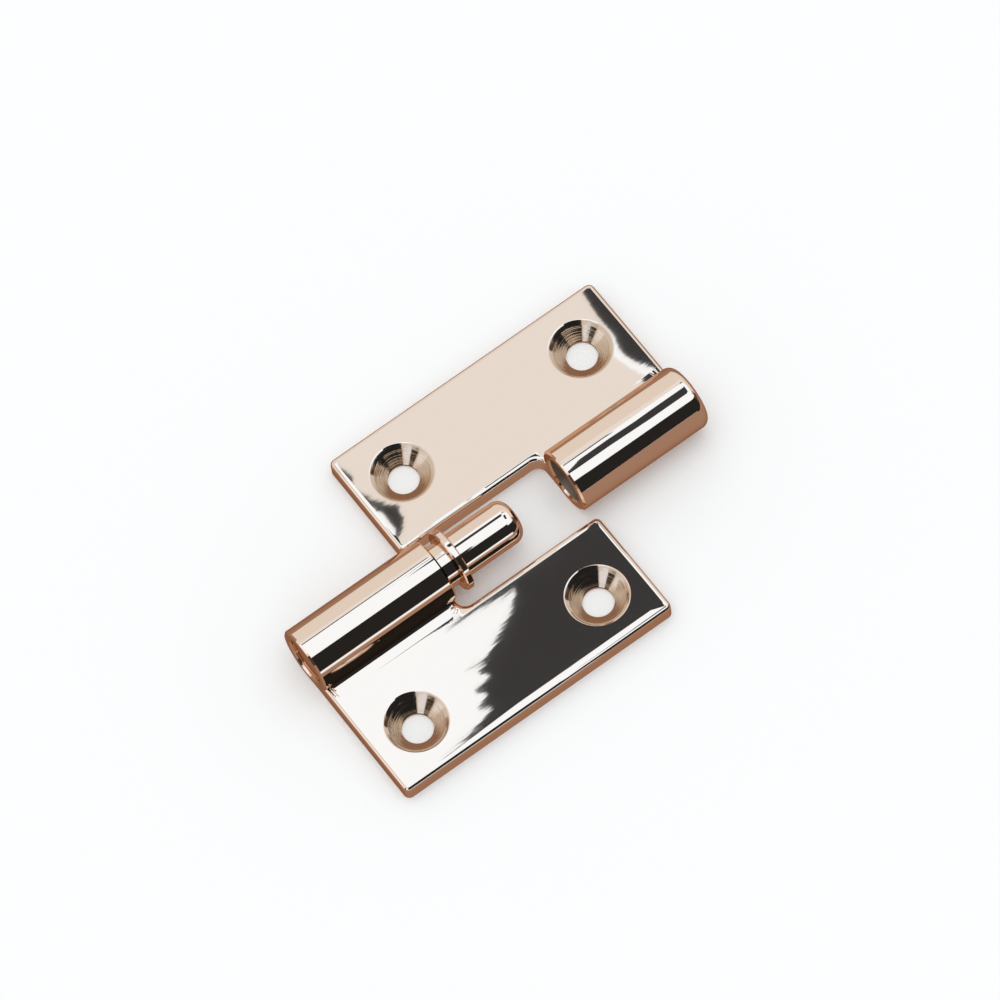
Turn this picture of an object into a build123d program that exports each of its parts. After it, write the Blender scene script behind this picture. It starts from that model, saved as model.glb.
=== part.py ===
from build123d import *
import math
import os

# Lift off hinge: one leaf holds a fixed pin, the other has a blind socket that lifts off it.
# Sizes are in millimetres. X runs along the pin towards its free end, and Z up from the backs.
# The origin lies midway between the pin leaf's screw holes, on its back face.
# The leaves lie open and flat, with the socket leaf drawn off along the pin.

# Plates of the two leaves
leaf_length = 50.0
leaf_reach = 26.0  # from the pin's axis to the long outer edge
leaf_thickness = 3.0
leaf_corner_radius = 1.0  # in plan
leaf_edge_radius = 0.75  # along the upper edges
notch_clearance = 1.3  # from one leaf's barrel to the other leaf's inner edge
notch_corner_radius = 1.7

# Countersunk screw holes, two in each leaf
screw_spacing = 34.0
screw_row_distance = 17.5  # from the pin's axis
screw_hole_diameter = 5.0
countersink_diameter = 10.0
countersink_angle = 90.0

# Barrels, whose undersides are flush with the backs
barrel_diameter = 10.8
barrel_standout = 0.1  # of each barrel end beyond the plate's own end
pin_barrel_length = 24.7
socket_barrel_length = 24.1
barrel_chamfer = 0.3
socket_crown_radius = 1.4  # round the closed end

# Pin, pressed into its barrel
pin_diameter = 7.4
pin_standout = 14.7  # beyond the barrel
pin_recess = 0.5  # below the barrel's outer end
pin_tip_radius = 2.0
pin_foot_chamfer = 0.4
pin_bore_chamfer = 0.3

# Socket, drilled from one end
running_clearance = 0.05  # radial, on the pin
socket_end_clearance = 1.0  # beyond the pin's tip when the leaves are together
drill_point_angle = 118.0
socket_mouth_chamfer = 0.3

# Loose washer on the pin
washer_diameter = 10.6
washer_thickness = 1.2
washer_chamfer = 0.2
washer_standoff = 2.3  # from the pin's barrel, where it lies on the pin

# How far the socket leaf is drawn off
drawn_apart = 22.7

# Places worked out from the sizes above
barrel_radius = barrel_diameter / 2
pin_radius = pin_diameter / 2
socket_radius = pin_radius + running_clearance
axis_y = screw_row_distance
outer_y = axis_y - leaf_reach
inner_y = axis_y - barrel_radius - notch_clearance
leaf_end_x = leaf_length / 2
barrel_start_x = -leaf_end_x - barrel_standout
pin_barrel_x = barrel_start_x + pin_barrel_length
socket_barrel_x = barrel_start_x + socket_barrel_length
axis_plane = Plane((0, axis_y, barrel_radius), x_dir=(1, 0, 0), z_dir=(0, -1, 0))
pin_axis = Axis(axis_plane.origin, axis_plane.x_dir)


def turned(*points):
    """Solid turned about the pin's axis from (X, radius) points, the first and last on it."""
    half = axis_plane * make_face(Polyline(*points, close=True))
    return revolve(half, pin_axis)


def bar(radius, start, end):
    """Plain round bar on the pin's axis."""
    return turned((start, 0), (start, radius), (end, radius), (end, 0))


def rims(solid, end):
    """Round edges of a turned solid at one end: 0 for the low X, -1 for the high X."""
    return solid.edges().filter_by(GeomType.CIRCLE).group_by(Axis.X)[end]


def plate(barrel_x):
    """Flat plate, notched beyond its barrel, with rounded corners and upper edges."""
    notch_x = barrel_x - barrel_standout
    outline = FilletPolyline(
        (-leaf_end_x, axis_y),
        (-leaf_end_x, outer_y),
        (leaf_end_x, outer_y),
        (leaf_end_x, inner_y),
        (notch_x, inner_y),
        (notch_x, axis_y),
        radius=[leaf_corner_radius, leaf_corner_radius, leaf_corner_radius, notch_corner_radius],
    )
    under_barrel = Line(outline @ 1, outline @ 0)
    solid = extrude(make_face([outline, under_barrel]), leaf_thickness)
    upper_edges = solid.faces().sort_by(Axis.Z)[-1].edges().sort_by(Axis.Y)[:-1]
    return fillet(upper_edges, leaf_edge_radius)


def screw_hole():
    """Cutter for one countersunk hole, at the origin."""
    slope = math.tan(math.radians(countersink_angle / 2))
    depth = (countersink_diameter - screw_hole_diameter) / 2 / slope
    hole = Cylinder(screw_hole_diameter / 2, 2 * leaf_thickness)
    sink = Cone(
        screw_hole_diameter / 2,
        countersink_diameter / 2,
        depth,
        align=(Align.CENTER, Align.CENTER, Align.MAX),
    )
    return hole + Pos(Z=leaf_thickness) * sink


def leaf(barrel, barrel_x):
    """Plate and barrel in one piece, with the screw holes but without a bore."""
    solid = plate(barrel_x) + barrel
    for x in (-screw_spacing / 2, screw_spacing / 2):
        solid -= Pos(X=x) * screw_hole()
    return solid


def make_pin_leaf():
    """Leaf whose barrel is bored through for the pressed pin."""
    barrel = bar(barrel_radius, barrel_start_x, pin_barrel_x)
    barrel = chamfer(rims(barrel, 0) + rims(barrel, -1), barrel_chamfer)
    bore = turned(
        (barrel_start_x, 0),
        (barrel_start_x, pin_radius + pin_bore_chamfer),
        (barrel_start_x + pin_bore_chamfer, pin_radius),
        (pin_barrel_x, pin_radius),
        (pin_barrel_x, 0),
    )
    return leaf(barrel, pin_barrel_x) - bore


def make_socket_leaf():
    """The same leaf turned half round, closed at its outer end and drilled from the other."""
    barrel = bar(barrel_radius, barrel_start_x, socket_barrel_x)
    barrel = fillet(rims(barrel, 0), socket_crown_radius)
    barrel = chamfer(rims(barrel, -1), barrel_chamfer)
    floor_x = socket_barrel_x - (pin_standout - washer_thickness + socket_end_clearance)
    point_depth = socket_radius / math.tan(math.radians(drill_point_angle / 2))
    socket = turned(
        (floor_x - point_depth, 0),
        (floor_x, socket_radius),
        (socket_barrel_x - socket_mouth_chamfer, socket_radius),
        (socket_barrel_x, socket_radius + socket_mouth_chamfer),
        (socket_barrel_x, 0),
    )
    solid = leaf(barrel, socket_barrel_x) - socket
    return Pos(drawn_apart, 2 * axis_y) * Rot(Z=180) * solid


def make_hinge_pin():
    """Plain round pin with a chamfered foot and a well rounded free end."""
    foot_x = barrel_start_x + pin_recess
    tip_x = pin_barrel_x + pin_standout
    solid = turned(
        (foot_x, 0),
        (foot_x, pin_radius - pin_foot_chamfer),
        (foot_x + pin_foot_chamfer, pin_radius),
        (tip_x, pin_radius),
        (tip_x, 0),
    )
    return fillet(rims(solid, -1), pin_tip_radius)


def make_washer():
    """Flat ring that runs on the pin."""
    near_x = pin_barrel_x + washer_standoff
    far_x = near_x + washer_thickness
    solid = bar(washer_diameter / 2, near_x, far_x) - bar(socket_radius, near_x, far_x)
    return chamfer(rims(solid, 0) + rims(solid, -1), washer_chamfer)


if __name__ == "__main__":
    os.makedirs("parts", exist_ok=True)
    export_step(make_pin_leaf(), "parts/pin_leaf.step")
    export_step(make_socket_leaf(), "parts/socket_leaf.step")
    export_step(make_hinge_pin(), "parts/hinge_pin.step")
    export_step(make_washer(), "parts/washer.step")
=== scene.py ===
"""Lift off hinge, taken apart: the looks of its two leaves, pin and washer, and a small studio."""

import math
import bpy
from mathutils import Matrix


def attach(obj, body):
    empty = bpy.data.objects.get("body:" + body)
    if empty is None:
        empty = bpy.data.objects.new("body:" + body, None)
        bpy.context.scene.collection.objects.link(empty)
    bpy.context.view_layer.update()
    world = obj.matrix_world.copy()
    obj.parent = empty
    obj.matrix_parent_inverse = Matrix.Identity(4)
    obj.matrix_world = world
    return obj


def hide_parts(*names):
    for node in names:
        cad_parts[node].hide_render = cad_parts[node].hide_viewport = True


bl_info = {
    "name": "Lift Off Hinge",
    "version": (1, 0, 0),
    "blender": (4, 5, 0),
    "location": "3D View > Sidebar > Hinge",
    "description": "Dresses a polished lift off hinge and sets its studio",
    "category": "Object",
}

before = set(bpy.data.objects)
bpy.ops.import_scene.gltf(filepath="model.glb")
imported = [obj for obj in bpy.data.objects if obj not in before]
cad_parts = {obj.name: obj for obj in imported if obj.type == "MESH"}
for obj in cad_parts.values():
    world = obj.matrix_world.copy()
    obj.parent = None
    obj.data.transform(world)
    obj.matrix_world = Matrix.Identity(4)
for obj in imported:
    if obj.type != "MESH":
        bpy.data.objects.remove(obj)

import bmesh
import bpy
from mathutils import Matrix, Vector

MM = 0.001

# Places in the hinge's own frame, in millimetres
SCREW_HALF_SPACING = 17.0
PIN_LEAF_ROW = (0.0, 0.0)
SOCKET_LEAF_ROW = (22.7, 35.0)
AXIS_Y = 17.5
AXIS_Z = 5.4
PLATE_TOP = 3.0 * MM
# The pin leaf's plate, measured from its screw row; the socket leaf's is the same, turned half round
PLATE_HALF_LENGTH = 25.0
PLATE_OUTER_EDGE = -8.5
PLATE_INNER_EDGE = 10.8
NOTCH_WALL = -0.5
EDGE_RADIUS = 0.75
SIDE_STRIP = 0.8  # along the outer long edge, which the polishing wheel has softened
END_STRIP = 0.3  # along the other edges
# Blend from plate to barrel: rise of the plate at each y, and where it ends on the barrel
BLEND = ((10.9, 0.0), (11.35, 0.03), (11.8, 0.13), (12.25, 0.29))
BLEND_END = (12.45, 0.48)
BLEND_RUN_IN = 0.15  # from each end of the plate, until the blend has its full rise
RIM_RADIUS = 5.0  # of a countersink
RIM_BREAK = 0.12
RIM_ZONE = 0.3  # round a countersink's rim, where its broken edge lies
SOCKET_WALL_REACH = 3.76  # just past the socket's own radius
SOCKET_WALL_SPAN = (23.9, 42.0)  # along X, between the mouth's chamfer and the closed end
# Long round facets are cut just before a rounded end, so that its tilt stays out of their reflections.
CROWN_CUT = 46.0
TIP_CUT = 11.9

# Tolerances, in millimetres unless said otherwise
NEAR = 0.01
PAST_BLEND = 0.05  # beyond the blend's last step a corner belongs to the barrel
MERGE = 0.0005
CUT_SNAP = 1e-7  # in metres
FLAT = 0.9999  # least Z of the normal of a flat top face
FACING_UP = 0.99  # a face with more than this is a flat top, and no part of a hole
SHARP_ANGLE = math.radians(24)

# Finishes
RIPPLE_STRETCH = 0.16  # a ripple is this much less frequent along the wheel's stroke
HAZE_FROM = 0.45  # noise at which fogging begins
HAZE_FULL = 0.8  # and at which it is full
CONE_ROUGHNESS = 0.1
RING_HEIGHT = 0.03
BORE_ROUGHNESS = 0.5
DRILL_PITCH = 0.25
DRILL_RING_HEIGHT = 0.008


def linear(code):
    """sRGB hex code to linear RGBA."""
    out = []
    for i in (1, 3, 5):
        c = int(code[i : i + 2], 16) / 255
        out.append(c / 12.92 if c <= 0.04045 else ((c + 0.055) / 1.055) ** 2.4)
    return (*out, 1.0)


def add(tree, kind, values=None, links=None, **settings):
    """Adds a node, sets its settings and input values, and links sockets into it."""
    node = tree.nodes.new(kind)
    for name, value in settings.items():
        setattr(node, name, value)
    for key, value in (values or {}).items():
        node.inputs[key].default_value = value
    for key, socket in (links or {}).items():
        tree.links.new(socket, node.inputs[key])
    return node


def empty_material(name):
    """A new node material without nodes, and its tree."""
    mat = bpy.data.materials.new(name)
    mat.use_nodes = True
    mat.node_tree.nodes.clear()
    return mat, mat.node_tree


class HingeFinish(bpy.types.PropertyGroup):
    """Colours and surface sizes of the metal."""

    plate_tone: bpy.props.StringProperty(
        name="Plate tone", description="Polished rose gold plating", default="#F5DCC7"
    )
    rim_tone: bpy.props.StringProperty(
        name="Rim tone", description="Copper that the plating turns to at a glancing angle", default="#D8BCA8"
    )
    # Painted shade: the countersinks' base colour is darker and browner than the plate's, though the plating is the
    # same.
    cone_painted_shade_tone: bpy.props.StringProperty(
        name="Cone tone", description="Turned metal in a countersink", default="#DCC5AF"
    )
    bore_tone: bpy.props.StringProperty(
        name="Bore tone", description="Drilled metal inside the socket", default="#C4AE97"
    )
    polish: bpy.props.FloatProperty(
        name="Polish", description="Roughness of the mirror polish", default=0.016, min=0.0, max=1.0
    )
    haze: bpy.props.FloatProperty(
        name="Haze", description="Roughness in the faintly fogged patches", default=0.022, min=0.0, max=1.0
    )
    haze_size: bpy.props.FloatProperty(
        name="Haze size", description="Across a fogged patch", default=7.0 * MM, unit="LENGTH"
    )
    ripple_length: bpy.props.FloatProperty(
        name="Ripple length", description="Across one ripple that the polishing left", default=1.2 * MM, unit="LENGTH"
    )
    ripple_height: bpy.props.FloatProperty(
        name="Ripple height", description="Height of those ripples", default=0.0007 * MM, unit="LENGTH", precision=6
    )
    ring_pitch: bpy.props.FloatProperty(
        name="Ring pitch", description="Between the turning marks in a countersink", default=0.32 * MM, unit="LENGTH"
    )


class HingeStage(bpy.types.PropertyGroup):
    """Sizes and levels of the studio."""

    floor_tone: bpy.props.StringProperty(name="Floor tone", description="White table", default="#FDFDFC")
    sky_tone: bpy.props.StringProperty(name="Sky tone", description="Tent round the table", default="#EAECEE")
    lens: bpy.props.FloatProperty(name="Lens", description="Focal length", default=324.0)
    panel_height: bpy.props.FloatProperty(
        name="Panel height", description="Of the soft box over the table", default=0.5, unit="LENGTH"
    )
    panel_level: bpy.props.FloatProperty(name="Panel level", description="Brightness of the soft box", default=1.6)


def mirror_metal(name, offset):
    """Rose gold plated brass, wheel polished. Its faces mirror the room nearly white, its sides keep a
    deeper copper, and long faint ripples left by the wheel make edges in the reflections waver.
    offset moves the ripples, so that no two pieces have the same ones."""
    look = bpy.context.scene.hinge_finish
    mat, tree = empty_material(name)
    coord = add(tree, "ShaderNodeTexCoord")
    place = add(
        tree,
        "ShaderNodeMapping",
        {"Location": offset, "Scale": (RIPPLE_STRETCH, 1.0, 1.0)},
        {"Vector": coord.outputs["Object"]},
    )
    ripple = add(
        tree,
        "ShaderNodeTexNoise",
        {"Scale": 1 / look.ripple_length, "Detail": 2.0, "Roughness": 0.5},
        {"Vector": place.outputs["Vector"]},
    )
    bump = add(
        tree,
        "ShaderNodeBump",
        {"Strength": 1.0, "Distance": look.ripple_height},
        {"Height": ripple.outputs["Fac"]},
    )
    clouds = add(
        tree,
        "ShaderNodeTexNoise",
        {"Scale": 1 / look.haze_size, "Detail": 4.0, "Roughness": 0.6},
        {"Vector": coord.outputs["Object"]},
    )
    haze = add(
        tree,
        "ShaderNodeMapRange",
        {"From Min": HAZE_FROM, "From Max": HAZE_FULL, "To Min": look.polish, "To Max": look.haze},
        {"Value": clouds.outputs["Fac"]},
    )
    shader = add(
        tree,
        "ShaderNodeBsdfPrincipled",
        {"Base Color": linear(look.plate_tone), "Metallic": 1.0, "Specular Tint": linear(look.rim_tone)},
        {"Roughness": haze.outputs["Result"], "Normal": bump.outputs["Normal"]},
    )
    add(tree, "ShaderNodeOutputMaterial", links={"Surface": shader.outputs["BSDF"]})
    return mat


def turned_countersink_with_painted_shade(name, row):
    """The same plating over a turned cone, whose rings blur what it mirrors round the hole. They are
    drawn coarser than a tool leaves them, so that they show. Its base colour is painted darker and
    browner than the plate's, as painted shade in the hollow."""
    look = bpy.context.scene.hinge_finish
    mat, tree = empty_material(name)
    coord = add(tree, "ShaderNodeTexCoord")
    place = add(
        tree,
        "ShaderNodeMapping",
        {"Location": (-row[0] * MM, -row[1] * MM, 0)},
        {"Vector": coord.outputs["Object"]},
    )
    split = add(tree, "ShaderNodeSeparateXYZ", links={"Vector": place.outputs["Vector"]})
    aside = add(tree, "ShaderNodeMath", links={0: split.outputs["X"]}, operation="ABSOLUTE")
    across = add(
        tree, "ShaderNodeMath", {1: SCREW_HALF_SPACING * MM}, {0: aside.outputs[0]}, operation="SUBTRACT"
    )
    flat = add(tree, "ShaderNodeCombineXYZ", links={"X": across.outputs[0], "Y": split.outputs["Y"]})
    away = add(tree, "ShaderNodeVectorMath", links={0: flat.outputs[0]}, operation="LENGTH")
    turns = add(
        tree, "ShaderNodeMath", {1: 1 / look.ring_pitch}, {0: away.outputs["Value"]}, operation="MULTIPLY"
    )
    rings = add(
        tree,
        "ShaderNodeTexNoise",
        {"Scale": 1.0, "Detail": 3.0, "Roughness": 0.6},
        {"W": turns.outputs[0]},
        noise_dimensions="1D",
    )
    bump = add(
        tree,
        "ShaderNodeBump",
        {"Strength": 1.0, "Distance": RING_HEIGHT * MM},
        {"Height": rings.outputs["Fac"]},
    )
    shader = add(
        tree,
        "ShaderNodeBsdfPrincipled",
        {
            # painted shade: this base colour is darker and browner than the plate's
            "Base Color": linear(look.cone_painted_shade_tone),
            "Metallic": 1.0,
            "Roughness": CONE_ROUGHNESS,
            "Specular Tint": linear(look.rim_tone),
        },
        {"Normal": bump.outputs["Normal"]},
    )
    add(tree, "ShaderNodeOutputMaterial", links={"Surface": shader.outputs["BSDF"]})
    return mat


def drilled_bore():
    """Bare drilled brass inside the socket, duller than the plate and ringed by the drill. Its rings
    are drawn coarser than a drill leaves them, so that they show."""
    look = bpy.context.scene.hinge_finish
    mat, tree = empty_material("drilled_brass_bore")
    coord = add(tree, "ShaderNodeTexCoord")
    split = add(tree, "ShaderNodeSeparateXYZ", links={"Vector": coord.outputs["Object"]})
    turns = add(
        tree, "ShaderNodeMath", {1: 1 / (DRILL_PITCH * MM)}, {0: split.outputs["X"]}, operation="MULTIPLY"
    )
    rings = add(
        tree, "ShaderNodeTexNoise", {"Scale": 1.0, "Detail": 2.0}, {"W": turns.outputs[0]}, noise_dimensions="1D"
    )
    bump = add(
        tree,
        "ShaderNodeBump",
        {"Strength": 1.0, "Distance": DRILL_RING_HEIGHT * MM},
        {"Height": rings.outputs["Fac"]},
    )
    shader = add(
        tree,
        "ShaderNodeBsdfPrincipled",
        {"Base Color": linear(look.bore_tone), "Metallic": 1.0, "Roughness": BORE_ROUGHNESS},
        {"Normal": bump.outputs["Normal"]},
    )
    add(tree, "ShaderNodeOutputMaterial", links={"Surface": shader.outputs["BSDF"]})
    return mat


def at_plate_top(point):
    return abs(point.z - PLATE_TOP) < NEAR * MM


def on_plate_top(face):
    return face.normal.z > FLAT and at_plate_top(face.calc_center_median())


def cut(bm, faces, axis, place):
    """Splits faces along the plane across axis at place, in millimetres."""
    near = set(faces) | {e for f in faces for e in f.edges} | {v for f in faces for v in f.verts}
    bmesh.ops.bisect_plane(bm, geom=list(near), dist=CUT_SNAP, plane_co=axis * (place * MM), plane_no=axis)


def hole_reach(point, row):
    """Distance in plan from the nearer screw hole's axis, in millimetres."""
    return math.hypot(abs(point.x / MM - row[0]) - SCREW_HALF_SPACING, point.y / MM - row[1])


def shape_plate(bm, row, way):
    """Finishing of one plate: softened edges, a blend against the barrel and broken countersink rims.
    way is 1 for the pin leaf and -1 for the socket leaf, which is turned half round."""
    end_in = EDGE_RADIUS + END_STRIP
    side_in = EDGE_RADIUS + SIDE_STRIP
    blend_start = -PLATE_HALF_LENGTH + EDGE_RADIUS
    blend_stop = NOTCH_WALL - EDGE_RADIUS
    ends = (-PLATE_HALF_LENGTH + end_in, PLATE_HALF_LENGTH - end_in, NOTCH_WALL - end_in)
    run_ins = [end for run in (BLEND_RUN_IN, 2 * BLEND_RUN_IN) for end in (blend_start + run, blend_stop - run)]
    for x in (*ends, *run_ins):
        cut(bm, [f for f in bm.faces if on_plate_top(f)], Vector((1, 0, 0)), row[0] + way * x)
    for y in (PLATE_OUTER_EDGE + side_in, PLATE_INNER_EDGE - end_in, *(y for y, _ in BLEND)):
        cut(bm, [f for f in bm.faces if on_plate_top(f)], Vector((0, 1, 0)), row[1] + way * y)
    for vert in bm.verts:
        x, y = (vert.co.x / MM - row[0]) * way, (vert.co.y / MM - row[1]) * way
        if at_plate_top(vert.co) and BLEND[0][0] + NEAR < y < AXIS_Y:
            full = max(0.0, min(1.0, (x - blend_start) / BLEND_RUN_IN, (blend_stop - x) / BLEND_RUN_IN))
            if y > BLEND[-1][0] + PAST_BLEND:
                vert.co.y += full * way * (BLEND_END[0] - y) * MM
                vert.co.z += full * BLEND_END[1] * MM
            else:
                vert.co.z += full * min(BLEND, key=lambda pair: abs(pair[0] - y))[1] * MM
    rims = [
        e
        for e in bm.edges
        if all(at_plate_top(v.co) and abs(hole_reach(v.co, row) - RIM_RADIUS) < 2 * NEAR for v in e.verts)
    ]
    bmesh.ops.bevel(
        bm, geom=rims, offset=RIM_BREAK * MM, segments=1, profile=0.5, affect="EDGES", material=-1, clamp_overlap=True
    )
    bm.normal_update()


def skin_of(node, name, body, row=None, way=1, cuts=()):
    """A merged copy of a CAD solid, shaded so that its flat faces mirror truly, which stands for it."""
    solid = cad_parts[node]
    mesh = bpy.data.meshes.new(name)
    bm = bmesh.new()
    bm.from_mesh(solid.data)
    bmesh.ops.remove_doubles(bm, verts=bm.verts, dist=MERGE * MM)
    for place in cuts:
        cut(bm, bm.faces[:], Vector((1, 0, 0)), place)
    if row:
        shape_plate(bm, row, way)
    for face in bm.faces:
        face.smooth = True
    for edge in bm.edges:
        if len(edge.link_faces) == 2:
            by_hole = row and all(hole_reach(v.co, row) < RIM_RADIUS + RIM_ZONE for v in edge.verts)
            rim = by_hole and sum(on_plate_top(f) for f in edge.link_faces) == 1
            edge.smooth = not rim and edge.calc_face_angle() < SHARP_ANGLE
    bm.to_mesh(mesh)
    bm.free()
    piece = bpy.data.objects.new(name, mesh)
    bpy.context.scene.collection.objects.link(piece)
    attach(piece, body)
    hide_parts(node)
    return piece


def screw_hole_faces(piece, row):
    """Gives the countersinks and holes of a leaf their own finish, turned rings with a painted darker shade, slot 1.
    """
    for face in piece.data.polygons:
        above_back = face.center.z > 2 * NEAR * MM
        if hole_reach(face.center, row) < RIM_RADIUS and face.normal.z < FACING_UP and above_back:
            face.material_index = 1


def socket_wall_faces(piece):
    """Gives the wall of the socket its own finish, slot 2."""
    for face in piece.data.polygons:
        x, y, z = face.center / MM
        in_span = SOCKET_WALL_SPAN[0] < x < SOCKET_WALL_SPAN[1]
        if math.hypot(y - AXIS_Y, z - AXIS_Z) < SOCKET_WALL_REACH and in_span:
            face.material_index = 2


class HINGE_OT_polished_leaves(bpy.types.Operator):
    """Dress the two leaves"""

    bl_idname = "hinge.polished_leaves"
    bl_label = "Polished Leaves"

    def execute(self, context):
        pin_leaf = skin_of("pin_leaf", "polished_pin_leaf", "pin_leaf", PIN_LEAF_ROW)
        pin_leaf.data.materials.append(mirror_metal("rose_gold_polished_pin_leaf", (0.0, 0.0, 0.0)))
        pin_leaf.data.materials.append(turned_countersink_with_painted_shade("rose_gold_turned_painted_shade_pin_leaf", PIN_LEAF_ROW))
        screw_hole_faces(pin_leaf, PIN_LEAF_ROW)
        socket_leaf = skin_of(
            "socket_leaf", "polished_socket_leaf", "socket_leaf", SOCKET_LEAF_ROW, -1, (CROWN_CUT,)
        )
        socket_leaf.data.materials.append(mirror_metal("rose_gold_polished_socket_leaf", (0.31, 0.17, 0.0)))
        socket_leaf.data.materials.append(turned_countersink_with_painted_shade("rose_gold_turned_painted_shade_socket_leaf", SOCKET_LEAF_ROW))
        socket_leaf.data.materials.append(drilled_bore())
        screw_hole_faces(socket_leaf, SOCKET_LEAF_ROW)
        socket_wall_faces(socket_leaf)
        return {"FINISHED"}


class HINGE_OT_fixed_pin(bpy.types.Operator):
    """Dress the pin"""

    bl_idname = "hinge.fixed_pin"
    bl_label = "Fixed Pin"

    def execute(self, context):
        pin = skin_of("hinge_pin", "polished_hinge_pin", "pin_leaf", cuts=(TIP_CUT,))
        pin.data.materials.append(mirror_metal("rose_gold_polished_pin", (0.11, 0.53, 0.0)))
        return {"FINISHED"}


class HINGE_OT_loose_washer(bpy.types.Operator):
    """Dress the washer"""

    bl_idname = "hinge.loose_washer"
    bl_label = "Loose Washer"

    def execute(self, context):
        washer = skin_of("washer", "polished_washer", "washer")
        washer.data.materials.append(mirror_metal("rose_gold_polished_washer", (0.71, 0.23, 0.0)))
        return {"FINISHED"}


# Tones and levels of the studio's cards. The white one is cool, because the metal warms it.
WHITE_TONE = "#D3E9FF"
PALE_TONE = "#EAF5FF"
PALE_LEVEL = 1.06
DARK_TONE = "#3C4147"
FRONT_DARK_TONE = "#26282A"
WOOD_TONE = "#A68B7B"
PLAIN_LEVEL = 1.0

# Outlines of the cards, in millimetres. Those over the table are (X, Y) places.
SEAM = (
    (96, 226), (100, 236), (103, 239), (101, 242), (103, 243), (101, 246), (99, 251), (100, 253), (98, 258), (96, 262),
    (96, 290),
)
SOFT_BOX = ((-260, -195), (680, -195), (680, 226), *SEAM, (-260, 290))
PALE_BOX = (*reversed(SEAM), (700, 226), (700, 420), (-260, 420), (-260, 290))
OVERHEAD_FLAGS = {
    "flag_over_pin_leaf": (
        (137, 215), (110, 213), (105, 214), (95, 212), (103, 212), (110, 211), (113, 211), (110, 208), (107, 206),
        (103, 204), (99, 202), (93, 202), (98, 201), (95, 200), (97, 198), (92, 197), (94, 195), (90, 193), (93, 192),
        (88, 190), (76, 188), (103, 186), (146, 186), (146, 221), (130, 221),
    ),
    "flag_over_socket_barrel": ((124, -70), (130, 80), (150, 98), (230, 98), (230, -97), (130, -95)),
    "flag_over_seam": ((-260, 282), (96, 282), (96, 294), (-260, 294)),
    "flag_over_far_end": (
        (166, 260), (165, 252), (165, 246), (164, 243), (164, 241), (165, 238), (167, 235), (169, 231), (330, 231),
        (330, 270), (168, 270),
    ),
    "flag_over_near_corner": (
        (98, 253), (100, 250), (101, 247), (103, 244), (105, 242), (104, 241), (104, 239), (102, 237), (99, 235),
        (101, 238), (101, 241), (101, 243), (99, 247), (98, 250),
    ),
    "flag_over_near_edge": ((98, 259), (100, 257), (101, 254), (100, 252), (99, 254), (98, 254)),
}
GLOW_OVER_FAR_END = (
    (165, 249), (165, 246), (164, 243), (164, 241), (165, 238), (167, 235), (169, 231), (166, 231), (163, 238),
    (162, 242), (163, 246),
)
# These small cards hang low, so that at rest only the barrel and the pin mirror them. When the socket
# leaf is swung over or slid home it mirrors them too, as dark marks.
LOW_CARDS = (
    ("low_glow_over_barrel", ((-8, 52), (18, 52), (18, 62), (-8, 62)), 100, True),
    ("low_seam_over_barrel", ((-8, 62), (18, 62), (18, 68), (-8, 68)), 100, False),
    ("low_glow_over_pin", ((8, 30), (22, 30), (22, 39), (8, 39)), 40, True),
    ("low_line_over_pin", ((4.2, 19.6), (14.6, 19.6), (14.6, 22.2), (4.2, 22.2)), 20, False),
    ("low_dash_over_barrel", ((-4, 18.9), (1.4, 18.2), (1.4, 19.5)), 20, False),
)
# Those that stand in front are (X, Z) places.
FRONT_FLAG = (
    (-260, 58), (84, 58), (88, 8), (680, 8), (680, 362), (116, 362), (141, 554), (127, 554), (136, 596), (151, 685),
    (-260, 685),
)
FRONT_SLIVER = ((-260, 24), (84, 24), (84, 48), (-260, 48))
FRONT_GLOW = ((100, 300), (680, 300), (680, 900), (100, 900))
FRONT_FLAG_Y = -300
CARD_GAP = 2  # between a card and the one that hangs before it
# Those at the sides are (Y, Z) places, and only the countersinks and rims mirror them.
SIDE_CARDS = (
    ("glow_at_left", -420, ((-420, 70), (-150, 70), (-150, 380), (-420, 380)), 1.4, "#DDEBFF"),
    ("flag_at_left", -430, ((-150, 0), (20, 0), (20, 260), (-150, 260)), 1.0, "#4A4238"),
    ("glow_far_left", -425, ((60, 20), (240, 20), (240, 200), (60, 200)), 1.3, "#EAF2FF"),
    ("flag_at_right", 520, ((-420, 0), (-40, 0), (-40, 260), (-420, 260)), 1.0, "#5A4A3C"),
)
# The table that the sides mirror, in place of the white one.
WOODEN_TABLE = ((-1500, -1500), (1500, -1500), (1500, 1500), (-1500, 1500))
WOODEN_TABLE_Z = -0.5

# The white table and the lamp over it, in metres and watts
TABLE_HALF_LENGTH = 4.0
TABLE_ROUGHNESS = 0.9
LAMP_SIZE = 1.6
LAMP_HEIGHT = 1.8
LAMP_POWER = 7.0

# The camera's place in millimetres, and its own directions
CAMERA_PLACE = (-255.689, -498.9, 1244.008)
CAMERA_RIGHT = (0.805218, -0.58864, -0.071599)
CAMERA_UP = (0.559298, 0.713812, 0.421494)
CAMERA_BACK = (-0.197, -0.37944, 0.904)
SENSOR_WIDTH = 36.0
CLIP_START = 0.01
CLIP_END = 20.0


def card(name, outline, place, level, tone):
    """A thin card seen only in the metal's reflections: outline points go through place to metres."""
    bm = bmesh.new()
    corners = [bm.verts.new(place(a, b)) for a, b in outline]
    bm.faces.new(corners).normal_update()
    bmesh.ops.triangulate(bm, faces=bm.faces, ngon_method="EAR_CLIP")
    mesh = bpy.data.meshes.new(name)
    bm.to_mesh(mesh)
    bm.free()
    mat, tree = empty_material(name)
    glow = add(tree, "ShaderNodeEmission", {"Color": linear(tone), "Strength": level})
    add(tree, "ShaderNodeOutputMaterial", links={"Surface": glow.outputs[0]})
    mesh.materials.append(mat)
    obj = bpy.data.objects.new(name, mesh)
    bpy.context.scene.collection.objects.link(obj)
    obj.visible_camera = False
    obj.visible_diffuse = False
    obj.visible_shadow = False


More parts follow.
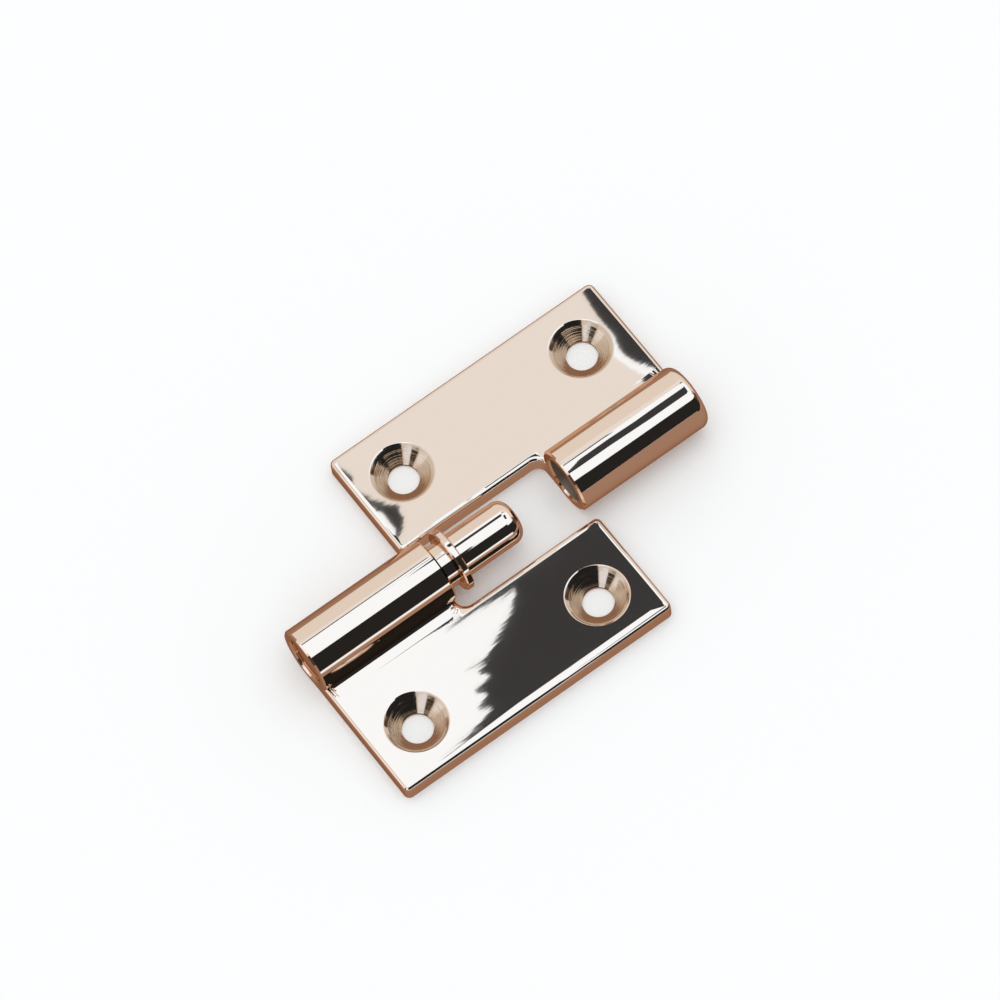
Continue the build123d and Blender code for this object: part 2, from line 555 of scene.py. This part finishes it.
class HINGE_OT_studio(bpy.types.Operator):
    """Set the table, the soft light, the cards and the camera"""

    bl_idname = "hinge.studio"
    bl_label = "Studio"

    def execute(self, context):
        scene = context.scene
        stage = scene.hinge_stage
        height = stage.panel_height

        bm = bmesh.new()
        bmesh.ops.create_grid(bm, x_segments=1, y_segments=1, size=TABLE_HALF_LENGTH)
        mesh = bpy.data.meshes.new("white_table")
        bm.to_mesh(mesh)
        bm.free()
        table = bpy.data.objects.new("white_table", mesh)
        scene.collection.objects.link(table)
        mat = bpy.data.materials.new("matt_white_table")
        mat.use_nodes = True
        shader = mat.node_tree.nodes["Principled BSDF"]
        shader.inputs["Base Color"].default_value = linear(stage.floor_tone)
        shader.inputs["Roughness"].default_value = TABLE_ROUGHNESS
        shader.inputs["Specular IOR Level"].default_value = 0.0
        table.data.materials.append(mat)
        table.visible_glossy = False

        world = bpy.data.worlds.new("pale_tent")
        scene.world = world
        world.use_nodes = True
        sky = world.node_tree.nodes["Background"]
        sky.inputs["Color"].default_value = linear(stage.sky_tone)
        sky.inputs["Strength"].default_value = 1.0

        lamp = bpy.data.lights.new("overhead_softbox", "AREA")
        lamp.shape = "RECTANGLE"
        lamp.size = LAMP_SIZE
        lamp.size_y = LAMP_SIZE
        lamp.energy = LAMP_POWER
        over = bpy.data.objects.new("overhead_softbox", lamp)
        over.location = (0.0, 0.0, LAMP_HEIGHT)
        over.visible_glossy = False
        scene.collection.objects.link(over)

        def above(a, b):
            return (a * MM, b * MM, height)

        def below_panel(a, b):
            return (a * MM, b * MM, height - CARD_GAP * MM)

        def in_front(a, b):
            return (a * MM, FRONT_FLAG_Y * MM, b * MM)

        def behind_flag(a, b):
            return (a * MM, (FRONT_FLAG_Y - CARD_GAP) * MM, b * MM)

        def on_table(a, b):
            return (a * MM, b * MM, WOODEN_TABLE_Z * MM)

        card("soft_box", SOFT_BOX, above, stage.panel_level, WHITE_TONE)
        card("pale_box", PALE_BOX, above, PALE_LEVEL, PALE_TONE)
        for name, outline in OVERHEAD_FLAGS.items():
            card(name, outline, below_panel, PLAIN_LEVEL, DARK_TONE)
        card("glow_over_far_end", GLOW_OVER_FAR_END, below_panel, stage.panel_level, WHITE_TONE)
        card("flag_in_front", FRONT_FLAG, in_front, PLAIN_LEVEL, FRONT_DARK_TONE)
        card("sliver_in_front", FRONT_SLIVER, in_front, stage.panel_level, WHITE_TONE)
        card("glow_in_front", FRONT_GLOW, behind_flag, stage.panel_level, WHITE_TONE)
        for name, outline, low, bright in LOW_CARDS:
            level = stage.panel_level if bright else PLAIN_LEVEL
            tone = WHITE_TONE if bright else DARK_TONE
            card(name, outline, lambda a, b: (a * MM, b * MM, low * MM), level, tone)
        for name, side, outline, level, tone in SIDE_CARDS:
            card(name, outline, lambda a, b: (side * MM, a * MM, b * MM), level, tone)
        card("wooden_table", WOODEN_TABLE, on_table, PLAIN_LEVEL, WOOD_TONE)

        eye = bpy.data.cameras.new("camera")
        eye.lens = stage.lens
        eye.sensor_width = SENSOR_WIDTH
        eye.clip_start = CLIP_START
        eye.clip_end = CLIP_END
        camera = bpy.data.objects.new("camera", eye)
        turn = Matrix((CAMERA_RIGHT, CAMERA_UP, CAMERA_BACK)).transposed().to_4x4()
        camera.matrix_world = Matrix.Translation(Vector(CAMERA_PLACE) * MM) @ turn
        scene.collection.objects.link(camera)
        scene.camera = camera
        scene.view_settings.view_transform = "Standard"
        return {"FINISHED"}


class HINGE_PT_panel(bpy.types.Panel):
    """The hinge's pieces and studio"""

    bl_idname = "HINGE_PT_panel"
    bl_label = "Lift Off Hinge"
    bl_space_type = "VIEW_3D"
    bl_region_type = "UI"
    bl_category = "Hinge"

    def draw(self, context):
        layout = self.layout
        for settings in (context.scene.hinge_finish, context.scene.hinge_stage):
            box = layout.box()
            for name in settings.__annotations__:
                box.prop(settings, name)
        for operator in OPERATORS:
            layout.operator(operator.bl_idname)


OPERATORS = (HINGE_OT_polished_leaves, HINGE_OT_fixed_pin, HINGE_OT_loose_washer, HINGE_OT_studio)
CLASSES = (HingeFinish, HingeStage, *OPERATORS, HINGE_PT_panel)


def register():
    for cls in CLASSES:
        bpy.utils.register_class(cls)
    bpy.types.Scene.hinge_finish = bpy.props.PointerProperty(type=HingeFinish)
    bpy.types.Scene.hinge_stage = bpy.props.PointerProperty(type=HingeStage)


def unregister():
    del bpy.types.Scene.hinge_stage
    del bpy.types.Scene.hinge_finish
    for cls in reversed(CLASSES):
        bpy.utils.unregister_class(cls)


def main():
    register()
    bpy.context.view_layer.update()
    bpy.ops.hinge.polished_leaves()
    bpy.ops.hinge.fixed_pin()
    bpy.ops.hinge.loose_washer()
    bpy.ops.hinge.studio()


if __name__ == "__main__":
    main()
